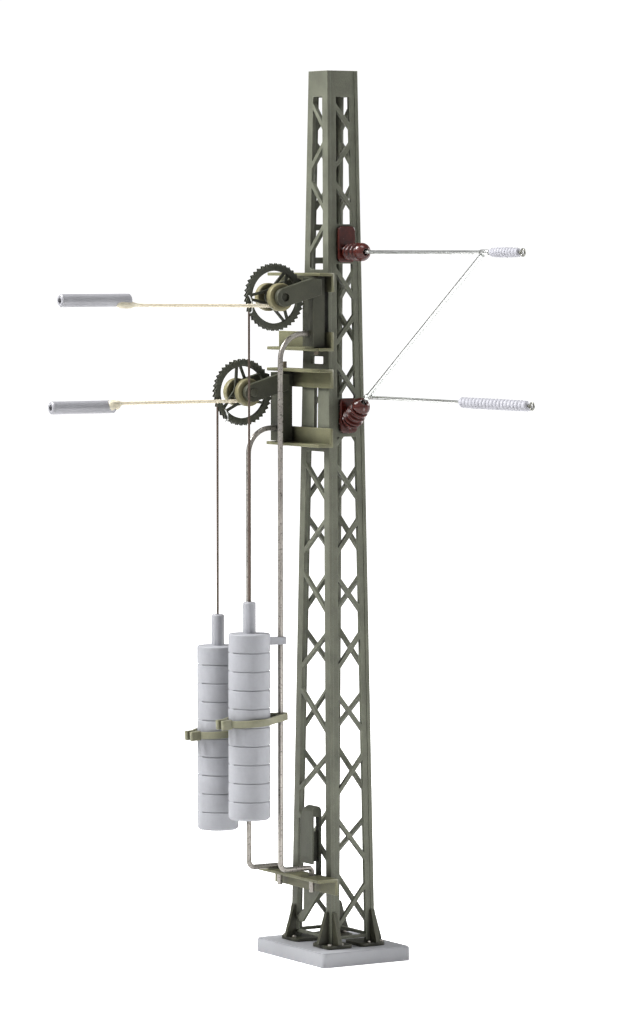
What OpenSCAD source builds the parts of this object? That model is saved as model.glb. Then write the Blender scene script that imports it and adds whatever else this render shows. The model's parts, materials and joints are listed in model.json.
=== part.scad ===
// Overhead-line tensioning mast for an H0 railway layout: a tapered lattice mast on a base plate,
// two wheel tensioners with weight stacks on guide rods, and a cantilever arm on two insulators.
// Frame: Z up, the arm points along +X, the tensioners hang on the -Y face of the mast.
// The origin is the centre of the base plate's bottom face.

/* [Base] */
// Length of the base plate along X
base_x = 17.6; // [16:0.1:20]
// Width of the base plate along Y
base_y = 13.6; // [12.4:0.1:16]
// Thickness of the base plate
base_z = 1.9; // [1.5:0.1:2.5]

/* [Mast] */
// Height of the mast's top above the table
mast_top = 118; // [117:0.5:122]
// Width of the mast along X at its foot
foot_w = 10.4; // [10:0.1:10.8]
// Width of the mast along Y at its foot
foot_d = 6.8; // [6.6:0.1:7.2]
// Width of the mast along X at its top
top_w = 4.8; // [4.6:0.1:5.2]
// Width of the mast along Y at its top
top_d = 4.7; // [4.6:0.1:5.0]
// Thickness of a lattice panel
panel_t = 0.55; // [0.45:0.05:0.6]
// Width of a panel's upright flanges
flange_w = 1.35; // [1.2:0.05:1.4]
// Width of a lattice bar
bar_w = 0.55; // [0.45:0.05:0.65]

/* [Tensioners] */
// Height of the upper tensioner's wheel axis
upper_axis_z = 88.2; // [87.8:0.1:88.6]
// Height of the lower tensioner's wheel axis
lower_axis_z = 75.5; // [75.1:0.1:75.9]
// Radius over the teeth of a tensioning wheel
wheel_r = 4.5; // [4.4:0.05:4.6]
// Number of teeth on a tensioning wheel
tooth_count = 40; // [36:1:48]
// Radius of the core that the tension rope winds on
core_r = 0.9; // [0.85:0.05:0.95]

/* [Weights] */
// Diameter of a weight stack
weight_d = 5.5; // [5.3:0.1:5.6]
// Number of discs in a weight stack
disc_count = 10; // [8:1:10]
// Height of one disc
disc_h = 2.45; // [2.3:0.05:2.5]
// Diameter of a guide rod
rod_d = 0.7; // [0.6:0.05:0.75]

/* [Arm] */
// Reach of the upper tube's elbow from the mast's axis
elbow_x = 36.6; // [34:0.1:38]
// Diameter of the arm's tubes
tube_d = 0.5; // [0.46:0.02:0.56]
// Width of the strut below the upper tube
strut_d = 0.66; // [0.5:0.02:0.7]

/* [Hidden] */
$fn = 48;
mast_color = "DarkOliveGreen";
steel_color = "Olive";
dark_color = "DarkSlateGray";
pale_color = "LightSteelBlue";
rod_color = "Gray";
rope_color = "Wheat";
cable_color = "SaddleBrown";
silver_color = "Silver";
glaze_color = "Maroon";

// The mast: where its feet stand, and how its faces lean
foot_t = 0.45;
leg_z = base_z + foot_t;
mast_h = mast_top - leg_z;
face_len_x = norm([mast_h, (foot_w - top_w) / 2]);
face_len_y = norm([mast_h, (foot_d - top_d) / 2]);
lean_x = atan((foot_w - top_w) / 2 / mast_h);
lean_y = atan((foot_d - top_d) / 2 / mast_h);
head_h = 3.4;
foot_bar_z = 0.65;
foot_bar_h = 0.4;
// The lattice: eight bays that grow downwards, each with two bars and a gap after each bar
first_bay_z = 113.6;
first_pitch = 10.3;
pitch_step = 1.07;
bay_count = 8;
bar_share = 0.308;
bar_root = 0.25;
// Solid plates in the panels, behind the insulators and behind the tensioners
upper_plate_z = [92.6, 97.8];
lower_plate_z = [69.7, 74.8];
bracket_plate_z = [67.7, 91.8];

// Half width of the mast along X and along Y at height z
function half_x(z) = foot_w / 2 + (top_w - foot_w) / 2 * (z - leg_z) / mast_h;
function half_y(z) = foot_d / 2 + (top_d - foot_d) / 2 * (z - leg_z) / mast_h;
// Height of the first bar of bay number i
function bay_z(i) = first_bay_z - first_pitch * i - pitch_step * i * (i - 1) / 2;
function bay_pitch(i) = first_pitch + pitch_step * i;

// The tensioners: the pivot pins' X, and what is measured from a wheel's axis
upper_x = 2.3;
lower_x = -6.0;
pin_y = -3.95;
axis_y = -10.45;
bracket_left = -8.9;
bracket_right = 4.65;
bracket_depth = 2.25;
bracket_t = 0.42;
bracket_flange = 2.5;
bracket_above = 3.15;
bracket_gap = 10.3;
pin_d = 0.7;
pin_clearance = 0.03;
post_w = 2.8;
post_front = -5.25;
post_back = -3.55;
post_wall = 0.5;
post_end_gap = 0.15;
rod_hole_rise = 2.3;
lever_t = 0.85;
lever_inner = 2.15;
lever_eye_r = 1.22;
lever_root_y = -4.95;
lever_root_low = 0.3;
lever_root_high = 2.3;
axle_r = 0.55;
running_gap = 0.04;
rim_t = 0.6;
rim_inner_r = 3.45;
groove_r = 3.66;
groove_w = 0.3;
cable_d = 0.28;
cable_r = groove_r + cable_d / 2 + 0.01;
tooth_h = 0.34;
drum_r = 1.85;
drum_inner = 1.0;
drum_outer = 2.05;
rope_d = 0.46;
rope_x = 0.72;
rope_r = core_r + rope_d / 2 + 0.01;
spoke_t = 0.3;
spoke_w = 0.36;

// The weights: their axis, and their heights above the table
weight_y = axis_y - cable_r;
upper_weight_z = 19.6;
lower_weight_z = 17.4;
stem_d = 1.7;
stem_h = 4.15;
groove_depth = 0.16;
groove_h = 0.2;
rod_y = -9.5;
rod_gap = 0.12;
lug_z = 22.9;
lug_h = 0.95;
lug_r = 0.75;
yoke_z = 12.5;
yoke_h = 0.9;
yoke_bar = 0.5;
yoke_gap = 0.12;
yoke_tilt = 4;
// The guide rods: bends and the foot in their bracket
rod_top_bend = 3.4;
rod_bend = 0.9;
upper_rod_foot_z = 12.45;
lower_rod_foot_z = 11.85;
rod_foot_y = -4.7;
rod_foot_end = 9.2;
foot_bracket_z = 11.4;
foot_bracket_left = -8.8;
foot_bracket_right = 6.9;
foot_bracket_depth = 3.1;
foot_bend = 0.6;

// The tension ropes and their sleeves
upper_sleeve_y = [-42.6, -32.4];
lower_sleeve_y = [-39.6, -30.2];
upper_sleeve_z = 87.95;
lower_sleeve_z = 73.95;
sleeve_r = 0.85;
sleeve_bore_r = 0.42;
sleeve_plug = 3.2;

// The arm
upper_tube_z = 94.1;
lower_tube_z = 75.05;
insulator_t = 0.6;
insulator_w = 2.6;
upper_insulator_z = [92.75, 97.5];
lower_insulator_z = [70.2, 74.8];
lower_cone_z = 71.5;
lower_cone_tilt = 38;
upper_sheds = [[0.58, 1.02], [1.68, 1.1], [2.78, 1.18]];
lower_sheds = [[0.65, 1.3], [1.3, 1.42], [2.22, 1.38], [3.14, 1.33]];
shed_len = 3.75;
shed_end_r = 1.27;
shed_groove = 0.2;
joint_x = 8.75;
joint_r = 0.5;
strut_end_gap = 0.3;
upper_coil_x = [37.9, 44.9];
lower_coil_x = [31.0, 47.0];
upper_coil_r = 0.66;
lower_coil_r = 0.74;
coil_wire = 0.4;

// A box from corner a to corner b
module block(a, b) {
    translate(a) cube(b - a);
}

// A rounded rectangle, size [w, d], centred, with corners of radius r
module rounded(size, r) {
    square([size[0] - 2 * r, size[1]], center = true);
    square([size[0], size[1] - 2 * r], center = true);
    for (sx = [-1, 1], sy = [-1, 1])
        translate([sx * (size[0] / 2 - r), sy * (size[1] / 2 - r)]) circle(r);
}

// A cylinder along X from x0 to x1
module rod_x(r, x0, x1) {
    translate([x0, 0, 0]) rotate([0, 90, 0]) cylinder(r = r, h = x1 - x0);
}

// A cylinder along Y from y0 to y1
module rod_y_dir(r, y0, y1) {
    translate([0, y1, 0]) rotate([90, 0, 0]) cylinder(r = r, h = y1 - y0);
}

// ---------- mast ----------

module base_plate() {
    color(pale_color) {
        linear_extrude(base_z - 0.15) rounded([base_x, base_y], 0.6);
        translate([0, 0, base_z - 0.15]) linear_extrude(0.15) rounded([base_x - 0.3, base_y - 0.3], 0.5);
    }
}

// Width of a panel at distance s up its slope, from foot width a to top width b
function panel_half(a, b, len, s) = (a + (b - a) * s / len) / 2;

// One lattice bar between the upright flanges, from height s0 on the left to s1 on the right
module lattice_bar(a, b, len, flange, s0, s1) {
    left = -panel_half(a, b, len, s0) + flange - bar_root;
    right = panel_half(a, b, len, s1) - flange + bar_root;
    slope = atan2(s1 - s0, right - left);
    translate([left, s0]) rotate(slope) translate([0, -bar_w / 2]) square([norm([right - left, s1 - s0]), bar_w]);
}

// A window between the flanges, between two heights above the table
module panel_window(a, b, len, flange, z0, z1) {
    s0 = z0 - leg_z;
    s1 = z1 - leg_z;
    h0 = panel_half(a, b, len, s0) - flange;
    h1 = panel_half(a, b, len, s1) - flange;
    polygon([[-h0, s0], [h0, s0], [h1, s1], [-h1, s1]]);
}

// The flat outline of a lattice panel, standing on its foot, a wide at the foot and b at the top
module lattice(a, b, len, flange, plates) {
    difference() {
        polygon([[-a / 2, 0], [a / 2, 0], [b / 2, len], [-b / 2, len]]);
        panel_window(a, b, len, flange, leg_z - 1, leg_z + foot_bar_z);
        panel_window(a, b, len, flange, leg_z + foot_bar_z + foot_bar_h, mast_top - head_h);
    }
    for (i = [0 : bay_count - 1]) {
        top = bay_z(i) - leg_z;
        pitch = bay_pitch(i);
        lattice_bar(a, b, len, flange, top, top - bar_share * pitch);
        lattice_bar(a, b, len, flange, top - (0.5 + bar_share) * pitch, top - 0.5 * pitch);
    }
    for (p = plates) panel_window(a, b, len, flange - bar_root, p[0], p[1]);
}

// A panel raised on a face that leans inwards by the angle lean, at distance off from the axis
module stand_panel(turn, off, lean) {
    rotate(turn) translate([0, -off, leg_z]) rotate([90 - lean, 0, 0])
        translate([0, 0, -panel_t]) linear_extrude(panel_t) children();
}

// What the side panels' widths are, between the wheel side panel and the rear panel
side_foot = foot_d - 2 * panel_t;
side_top = top_d - 2 * panel_t;
side_flange = flange_w - panel_t;
seam = 0.06;

module wheel_side_panel() {
    color(mast_color) stand_panel(0, foot_d / 2, lean_y) {
        difference() {
            lattice(foot_w, top_w, face_len_y, flange_w, [bracket_plate_z]);
            translate([-0.35, 70.6 - leg_z]) square([1.0, 6.6]);
            translate([-0.35, 82.4 - leg_z]) square([1.0, 7.2]);
            translate([-1.1, 79.3 - leg_z]) square([3.0, 1.0]);
        }
    }
}

module rear_panel() {
    color(mast_color) stand_panel(180, foot_d / 2, lean_y) lattice(foot_w, top_w, face_len_y, flange_w, []);
}

module side_lattice() {
    lattice(side_foot, side_top, face_len_x, side_flange, [upper_plate_z, lower_plate_z]);
}

module arm_side_panel() {
    color(mast_color) stand_panel(90, foot_w / 2 - seam, lean_x) side_lattice();
}

module back_panel() {
    frame_w = 0.8;
    color(mast_color) stand_panel(-90, foot_w / 2 - seam, lean_x) difference() {
        side_lattice();
        for (p = [upper_plate_z, lower_plate_z])
            panel_window(side_foot, side_top, face_len_x, side_flange, p[0] + frame_w, p[1] - frame_w);
    }
}

// ---------- feet ----------

foot_out_x = 1.1;
foot_out_y = 1.1;
foot_w_x = 4.5;
foot_w_y = 3.9;
fin_t = 0.55;
fin_out = 1.5;
fin_h = 4.3;
fin_top = 0.35;
fin_off = 0.2;

// A triangular fin: u is the distance out from a face whose foot is at foot_half and which leans by lean
module fin(foot_half, lean) {
    back = foot_half - fin_h * tan(lean);
    rotate([90, 0, 0]) linear_extrude(fin_t)
        polygon([[foot_half, 0], [foot_half + fin_out, 0], [foot_half + fin_out, 0.35], [back + fin_top, fin_h], [back, fin_h]]);
}

module foot(sx, sy) {
    hx = foot_w / 2;
    hy = foot_d / 2;
    color(steel_color) scale([sx, sy, 1]) {
        translate([hx + foot_out_x - foot_w_x / 2, hy + foot_out_y - foot_w_y / 2, base_z])
            linear_extrude(foot_t) rounded([foot_w_x, foot_w_y], 0.7);
        translate([0, hy - fin_off, leg_z]) fin(hx, lean_x);
        translate([hx - fin_off - fin_t, 0, leg_z]) rotate([0, 0, 90]) mirror([0, 1, 0]) fin(hy, lean_y);
    }
}

module foot_1() { foot(1, -1); }
module foot_2() { foot(1, 1); }
module foot_3() { foot(-1, 1); }
module foot_4() { foot(-1, -1); }

// Three round-headed bolts on each foot
module foot_bolts() {
    color(steel_color) for (sx = [-1, 1], sy = [-1, 1])
        for (p = [[5.75, 4.0], [5.75, 2.15], [3.5, 3.95]])
            translate([sx * p[0], sy * p[1], leg_z]) {
                cylinder(r = 0.3, h = 0.16);
                translate([0, 0, 0.16]) cylinder(r1 = 0.3, r2 = 0.18, h = 0.1);
            }
}

// ---------- brackets on the wheel side ----------

// An L-shaped bracket: its plate between z0 and z0 + t, and its flange against the mast at y_back
module l_bracket(x0, x1, y_back, depth, z0, t, flange_low, flange_high) {
    block([x0, y_back - depth, z0], [x1, y_back, z0 + t]);
    block([x0, y_back - t, flange_low], [x1, y_back, flange_high]);
}

// The pair of brackets of one tensioner, from the height of its wheel axis
function top_of(axis_z) = axis_z + bracket_above;
function bottom_of(axis_z) = axis_z + bracket_above - bracket_gap;

module top_bracket(axis_z, pin_x) {
    top = top_of(axis_z);
    color(steel_color) difference() {
        l_bracket(bracket_left, bracket_right, -half_y(top - bracket_flange), bracket_depth,
            top - bracket_t, bracket_t, top - bracket_flange, top);
        translate([pin_x, pin_y, top - 2]) cylinder(r = pin_d / 2 + pin_clearance, h = 4);
    }
}

module bottom_bracket(axis_z, pin_x) {
    low = bottom_of(axis_z);
    color(steel_color) difference() {
        l_bracket(bracket_left, bracket_right, -half_y(low), bracket_depth,
            low, bracket_t, low, low + bracket_flange);
        translate([pin_x, pin_y, low - 2]) cylinder(r = pin_d / 2 + pin_clearance, h = 4);
    }
}

module upper_top_bracket() { top_bracket(upper_axis_z, upper_x); }
module upper_bottom_bracket() { bottom_bracket(upper_axis_z, upper_x); }
module lower_top_bracket() { top_bracket(lower_axis_z, lower_x); }
module lower_bottom_bracket() { bottom_bracket(lower_axis_z, lower_x); }

// The bracket that the guide rods' feet stand in: two sockets under its plate, and a web down the mast's face
module rod_foot_bracket() {
    low = 9.2;
    web = [[-1.3, low + 0.5], [2.9, low + 0.5], [2.9, low], [-1.7, 4.6], [-2.5, 4.6], [-2.5, 5.2], [-1.3, 6.4]];
    back = -half_y(web[3][1]) - 0.01;
    color(steel_color) difference() {
        union() {
            l_bracket(foot_bracket_left, foot_bracket_right, back, foot_bracket_depth,
                foot_bracket_z - bracket_t, bracket_t, low, foot_bracket_z);
            translate([0, back, 0]) rotate([90, 0, 0]) linear_extrude(bracket_t) polygon(web);
        }
        for (x = [upper_x, lower_x])
            translate([x, rod_foot_y, rod_foot_end]) cylinder(r = rod_d / 2 + pin_clearance, h = 4);
    }
}

// A strap that rises from the foot bracket, turns over in a round top and hangs down in front, one corner cut off
module arch_strap() {
    strap_x = [-0.45, 2.55];
    strap_top = 20.65;
    front_y = -4.78;
    back_y = -half_y(foot_bracket_z) - 0.02;
    arch_r = (back_y - front_y) / 2;
    leg_w = 0.32;
    leg_x = strap_x[1] - 0.95;
    window = [[front_y + 0.28, 12], [back_y - leg_w, 19.2]];
    wall_z = [13.2, 17.2];
    front_low = 12.9;
    color(mast_color) {
        difference() {
            translate([strap_x[0], 0, 0]) rotate([90, 0, 90]) linear_extrude(strap_x[1] - strap_x[0]) difference() {
                union() {
                    translate([(front_y + back_y) / 2, strap_top - arch_r]) circle(arch_r);
                    translate([front_y, front_low]) square([2 * arch_r, strap_top - arch_r - front_low]);
                    translate([back_y - leg_w, foot_bracket_z]) square([leg_w, 2]);
                }
                translate(window[0]) square(window[1] - window[0]);
            }
            block([strap_x[0] - 1, back_y - leg_w - 0.01, foot_bracket_z - 1], [leg_x, back_y + 1, window[1][1]]);
            rotate([90, 0, 0]) translate([0, 0, 2]) linear_extrude(4)
                polygon([[strap_x[0] - 0.2, 18.45], [strap_x[0] + 1.3, 21.1], [strap_x[0] - 0.2, 21.1]]);
        }
        block([leg_x, front_y + 0.1, wall_z[0]], [leg_x + 0.35, back_y - 0.1, wall_z[1]]);
    }
}

// ---------- posts, pins and forks ----------

// The upright channel between a pair of brackets, with a bored block at each end for the pivot pin
module post(axis_z, pin_x) {
    low = bottom_of(axis_z) + bracket_t + post_end_gap;
    high = top_of(axis_z) - bracket_t - post_end_gap;
    end_h = 0.9;
    hole_z = bottom_of(axis_z) + rod_hole_rise;
    color(steel_color) translate([pin_x, 0, 0]) difference() {
        block([-post_w / 2, post_front, low], [post_w / 2, post_back, high]);
        block([-post_w / 2 + post_wall, post_front + post_wall, low + end_h],
            [post_w / 2 - post_wall, post_back + 1, high - end_h]);
        translate([0, pin_y, low - 1]) cylinder(r = pin_d / 2 + pin_clearance, h = high - low + 2);
        translate([0, 0, hole_z]) rod_y_dir(rod_d / 2 + pin_clearance, post_front - 1, post_front + post_wall + 0.1);
    }
}

module upper_post() { post(upper_axis_z, upper_x); }
module lower_post() { post(lower_axis_z, lower_x); }

module pivot_pin(axis_z, pin_x, above, below) {
    low = bottom_of(axis_z) - below;
    color(steel_color) translate([pin_x, pin_y, low]) {
        cylinder(r = pin_d / 2, h = top_of(axis_z) + above - low);
    }
}

module upper_pivot_pin() { pivot_pin(upper_axis_z, upper_x, 0.05, 0.5); }
module lower_pivot_pin() { pivot_pin(lower_axis_z, lower_x, 0.85, 0.1); }

// The yoke block that joins a fork's two levers to the post
module fork_yoke(axis_z, pin_x) {
    color(steel_color) translate([pin_x, 0, axis_z])
        block([-lever_inner, post_front - 0.4, 0.6], [lever_inner, post_front, 2.0]);
}

module upper_fork_yoke() { fork_yoke(upper_axis_z, upper_x); }
module lower_fork_yoke() { fork_yoke(lower_axis_z, lower_x); }

// Where a line from point p touches the lever's eye, on the side given by turn
function eye_tangent(p, turn) =
    let (a = atan2(p[1], p[0]) + turn * acos(lever_eye_r / norm(p)))
    0.99 * lever_eye_r * [cos(a), sin(a)];

// One lever of a fork: a tapered arm from the post to the eye round the axle
module lever(axis_z, pin_x, x0) {
    root = lever_root_y - axis_y;
    shoulder = [root - 1.4, lever_root_high + 0.15];
    heel = [root, lever_root_low];
    color(steel_color) translate([pin_x + x0, axis_y, axis_z]) rotate([90, 0, 90]) difference() {
        union() {
            cylinder(r = lever_eye_r, h = lever_t);
            linear_extrude(lever_t)
                polygon([eye_tangent(shoulder, 1), shoulder, [root, lever_root_high], heel, eye_tangent(heel, -1)]);
        }
        translate([0, 0, -1]) cylinder(r = axle_r, h = lever_t + 2);
    }
}

module upper_front_lever() { lever(upper_axis_z, upper_x, lever_inner); }
module upper_rear_lever() { lever(upper_axis_z, upper_x, -lever_inner - lever_t); }
module lower_front_lever() { lever(lower_axis_z, lower_x, lever_inner); }
module lower_rear_lever() { lever(lower_axis_z, lower_x, -lever_inner - lever_t); }

module axle(axis_z, pin_x, front) {
    color(steel_color) translate([pin_x, axis_y, axis_z]) rod_x(axle_r, -lever_inner - lever_t - 0.15, front);
}

module upper_axle() { axle(upper_axis_z, upper_x, lever_inner + lever_t - 0.3); }
module lower_axle() { axle(lower_axis_z, lower_x, lever_inner + lever_t + 0.2); }

// ---------- wheels and drums ----------

// Saw teeth round a wheel: a slow rise and a steep back for each tooth
function tooth_points() = [for (i = [0 : tooth_count - 1], k = [0, 1])
    let (a = 360 * (i + 0.75 * k) / tooth_count, r = k == 0 ? wheel_r - tooth_h : wheel_r)
    [r * cos(a), r * sin(a)]];

// One spoke leg, from the hub disc to the rim, across to one side
module spoke_leg(side) {
    foot_p = [0.35, side * 1.0];
    rim_p = [rim_inner_r + 0.1, side * 0.26];
    turn = atan2(rim_p[1] - foot_p[1], rim_p[0] - foot_p[0]);
    translate(foot_p) rotate(turn) translate([0, -spoke_w / 2]) square([norm(rim_p - foot_p), spoke_w]);
}

module wheel(axis_z, pin_x, phase) {
    color(dark_color) translate([pin_x, axis_y, axis_z]) rotate([90, 0, 90]) difference() {
        union() {
            difference() {
                translate([0, 0, -rim_t / 2]) linear_extrude(rim_t) difference() {
                    polygon(tooth_points());
                    circle(rim_inner_r);
                }
                difference() {
                    translate([0, 0, -groove_w / 2]) cylinder(r = wheel_r + 1, h = groove_w);
                    translate([0, 0, -groove_w]) cylinder(r = groove_r, h = 2 * groove_w);
                }
            }
            translate([0, 0, -spoke_t / 2]) linear_extrude(spoke_t) {
                circle(1.4);
                for (k = [0 : 2], side = [-1, 1]) rotate(phase + 120 * k) spoke_leg(side);
            }
            translate([0, 0, -drum_outer]) cylinder(r = core_r, h = 2 * drum_outer);
        }
        translate([0, 0, -5]) cylinder(r = axle_r + running_gap, h = 10);
    }
}

module upper_wheel() { wheel(upper_axis_z, upper_x, 60); }
module lower_wheel() { wheel(lower_axis_z, lower_x, 100); }

// A drum pressed on the wheel's hub core, with its rim's edges broken
module drum(axis_z, pin_x, side) {
    edge = 0.12;
    color(steel_color) translate([pin_x, axis_y, axis_z]) rotate([0, 90, 0]) scale([1, 1, side])
        translate([0, 0, drum_inner]) difference() {
            union() {
                cylinder(r1 = drum_r - edge, r2 = drum_r, h = edge);
                translate([0, 0, edge]) cylinder(r = drum_r, h = drum_outer - drum_inner - 2 * edge);
                translate([0, 0, drum_outer - drum_inner - edge]) cylinder(r1 = drum_r, r2 = drum_r - edge, h = edge);
            }
            translate([0, 0, -1]) cylinder(r = core_r, h = 4);
        }
}

module upper_front_drum() { drum(upper_axis_z, upper_x, 1); }
module upper_rear_drum() { drum(upper_axis_z, upper_x, -1); }
module lower_front_drum() { drum(lower_axis_z, lower_x, 1); }
module lower_rear_drum() { drum(lower_axis_z, lower_x, -1); }

// ---------- weights, guides and cables ----------

weight_h = disc_count * disc_h;

module weight_cable(axis_z, pin_x, weight_z) {
    low = weight_z + weight_h + stem_h;
    color(cable_color) translate([pin_x, weight_y, low]) cylinder(r = cable_d / 2, h = axis_z - low);
}

module upper_weight_cable() { weight_cable(upper_axis_z, upper_x, upper_weight_z); }
module lower_weight_cable() { weight_cable(lower_axis_z, lower_x, lower_weight_z); }

// The turned outline of a weight: radius and height of each corner, from its bottom to the top of its stem
function weight_outline(r) = concat(
    [[0, 0], [r - 0.25, 0], [r, 0.25]],
    [for (i = [1 : disc_count - 1], k = [0 : 3])
        [r - (k == 0 || k == 3 ? 0 : groove_depth), i * disc_h + [-0.5, -0.25, 0.25, 0.5][k] * groove_h]],
    [[r, weight_h - 0.12], [r - 0.12, weight_h], [stem_d / 2, weight_h],
     [stem_d / 2, weight_h + stem_h - 0.15], [stem_d / 2 - 0.15, weight_h + stem_h], [0, weight_h + stem_h]]);

// A weight: discs with grooves between them, a plain strip down its side, and a lug that slides on the guide rod
module weight(pin_x, weight_z) {
    r = weight_d / 2;
    rod_off = rod_y - weight_y;
    strip_r = r - 0.03;
    color(pale_color) translate([pin_x, weight_y, weight_z]) difference() {
        union() {
            rotate_extrude() polygon(weight_outline(r));
            intersection() {
                translate([0, 0, disc_h / 2]) cylinder(r = strip_r, h = weight_h - disc_h);
                block([-0.45, -r - 1, 0], [0.45, -1, weight_h]);
            }
            translate([0, rod_off, lug_z]) cylinder(r = lug_r, h = lug_h);
            block([-lug_r, r - 0.6, lug_z], [lug_r, rod_off, lug_z + lug_h]);
        }
        translate([0, rod_off, lug_z - 1]) cylinder(r = rod_d / 2 + rod_gap, h = lug_h + 2);
    }
}

module upper_weight() { weight(upper_x, upper_weight_z); }
module lower_weight() { weight(lower_x, lower_weight_z); }

// Outline round two circles, radius ra at the origin and rb at distance d along +Y
module link_outline(ra, rb, d) {
    a = asin((ra - rb) / d);
    circle(ra);
    translate([0, d]) circle(rb);
    polygon([for (s = [[1, ra, 0], [1, rb, d], [-1, rb, d], [-1, ra, 0]])
        [s[0] * s[1] * cos(a), s[2] + s[1] * sin(a)]]);
}

// The clip round a weight and its guide rod, with two ears on the far side
module guide_yoke(pin_x, weight_z) {
    r = weight_d / 2 + yoke_gap;
    d = rod_y - weight_y;
    eye_r = 1.0;
    ear = [0.35, 1.05];
    color(steel_color) translate([pin_x, weight_y, weight_z + yoke_z]) rotate([yoke_tilt, 0, 0]) {
        linear_extrude(yoke_h) difference() {
            union() {
                difference() {
                    link_outline(r + yoke_bar, eye_r, d);
                    link_outline(r, eye_r - yoke_bar, d);
                }
                translate([0, d]) circle(eye_r);
            }
            circle(r);
            translate([0, d]) circle(rod_d / 2 + rod_gap);
        }
        for (side = [-1, 1])
            translate([side * (ear[0] + ear[1]) / 2, -r - 0.95, -0.15]) linear_extrude(yoke_h + 0.3)
                rounded([ear[1] - ear[0], 1.5], 0.25);
    }
}

module upper_guide_yoke() { guide_yoke(upper_x, upper_weight_z); }
module lower_guide_yoke() { guide_yoke(lower_x, lower_weight_z); }

// A quarter bend of a rod in the YZ plane: from the angle start, a quarter turn about the point c
module quarter_bend(c, bend_r, start) {
    translate([0, c[0], c[1]]) rotate([90, 0, 90]) rotate(start)
        rotate_extrude(angle = 90) translate([bend_r, 0]) circle(rod_d / 2);
}

// A guide rod: out of the post, down past the weight, back under it and into the foot bracket
module guide_rod(axis_z, pin_x, foot_z) {
    top_z = bottom_of(axis_z) + rod_hole_rise;
    r = rod_d / 2;
    color(rod_color) translate([pin_x, 0, 0]) {
        translate([0, 0, top_z]) rod_y_dir(r, rod_y + rod_top_bend, post_front + post_wall);
        quarter_bend([rod_y + rod_top_bend, top_z - rod_top_bend], rod_top_bend, 90);
        translate([0, rod_y, foot_z + rod_bend]) cylinder(r = r, h = top_z - rod_top_bend - foot_z - rod_bend);
        quarter_bend([rod_y + rod_bend, foot_z + rod_bend], rod_bend, 180);
        translate([0, 0, foot_z]) rod_y_dir(r, rod_y + rod_bend, rod_foot_y - foot_bend);
        quarter_bend([rod_foot_y - foot_bend, foot_z - foot_bend], foot_bend, 0);
        translate([0, rod_foot_y, rod_foot_end]) cylinder(r = r, h = foot_z - foot_bend - rod_foot_end);
    }
}

module upper_guide_rod() { guide_rod(upper_axis_z, upper_x, upper_rod_foot_z); }
module lower_guide_rod() { guide_rod(lower_axis_z, lower_x, lower_rod_foot_z); }

// A tension rope from the drum's core to its sleeve, where it ends in the sleeve's plugged stretch
module tension_rope(axis_z, pin_x, sleeve_y, sleeve_z) {
    start = [axis_y, axis_z - rope_r];
    end = [sleeve_y[1] - sleeve_plug + 0.4, sleeve_z];
    run = norm(start - end);
    color(rope_color) translate([pin_x + rope_x, start[0], start[1]])
        rotate([90 + atan2(end[1] - start[1], start[0] - end[0]) * -1, 0, 0]) cylinder(r = rope_d / 2, h = run);
}

module upper_tension_rope() { tension_rope(upper_axis_z, upper_x, upper_sleeve_y, upper_sleeve_z); }
module lower_tension_rope() { tension_rope(lower_axis_z, lower_x, lower_sleeve_y, lower_sleeve_z); }

// A sleeve for the overhead wire: a bore from its outer end, and a rope hole in its inner end
module sleeve(axis_z, pin_x, sleeve_y, sleeve_z) {
    edge = 0.15;
    start = [axis_y, axis_z - rope_r];
    end = [sleeve_y[1] - sleeve_plug + 0.4, sleeve_z];
    tilt = atan2(end[1] - start[1], start[0] - end[0]);
    color(pale_color) translate([pin_x + rope_x, 0, sleeve_z]) difference() {
        union() {
            rod_y_dir(sleeve_r, sleeve_y[0] + edge, sleeve_y[1] - edge);
            translate([0, sleeve_y[1], 0]) rotate([90, 0, 0]) cylinder(r1 = sleeve_r - edge, r2 = sleeve_r, h = edge);
            translate([0, sleeve_y[0] + edge, 0]) rotate([90, 0, 0]) cylinder(r1 = sleeve_r, r2 = sleeve_r - edge, h = edge);
        }
        rod_y_dir(sleeve_bore_r, sleeve_y[0] - 1, sleeve_y[1] - sleeve_plug - 0.4);
        translate([0, end[0], 0]) rotate([-90 - tilt, 0, 0]) cylinder(r = rope_d / 2 + 0.01, h = 6);
    }
}

module upper_sleeve() { sleeve(upper_axis_z, upper_x, upper_sleeve_y, upper_sleeve_z); }
module lower_sleeve() { sleeve(lower_axis_z, lower_x, lower_sleeve_y, lower_sleeve_z); }

// ---------- cantilever arm ----------

// A ribbed insulator body along +X from the origin: its ribs are [place, radius] pairs, and its end is a round cap
module shed_body(sheds) {
    rib = 0.36;
    first_r = sheds[0][1] - shed_groove;
    last_r = sheds[len(sheds) - 1][1] - shed_groove;
    foot_r = first_r - 0.15;
    rotate([0, 90, 0]) difference() {
        union() {
            translate([0, 0, -0.3]) cylinder(r1 = first_r, r2 = last_r, h = shed_len + 0.3);
            for (shed = sheds) {
                translate([0, 0, shed[0] - rib]) cylinder(r1 = foot_r, r2 = shed[1], h = rib);
                translate([0, 0, shed[0]]) cylinder(r1 = shed[1], r2 = foot_r, h = rib);
            }
            translate([0, 0, shed_len - 0.1]) cylinder(r1 = foot_r, r2 = shed_end_r, h = 0.35);
            translate([0, 0, shed_len + 0.25]) cylinder(r1 = shed_end_r, r2 = shed_end_r - 0.15, h = 0.35);
            translate([0, 0, shed_len + 0.6]) cylinder(r1 = shed_end_r - 0.15, r2 = shed_end_r - 0.6, h = 0.35);
        }
        translate([0, 0, shed_len - 0.2]) cylinder(r = tube_d / 2 + 0.02, h = 2);
    }
}

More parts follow.
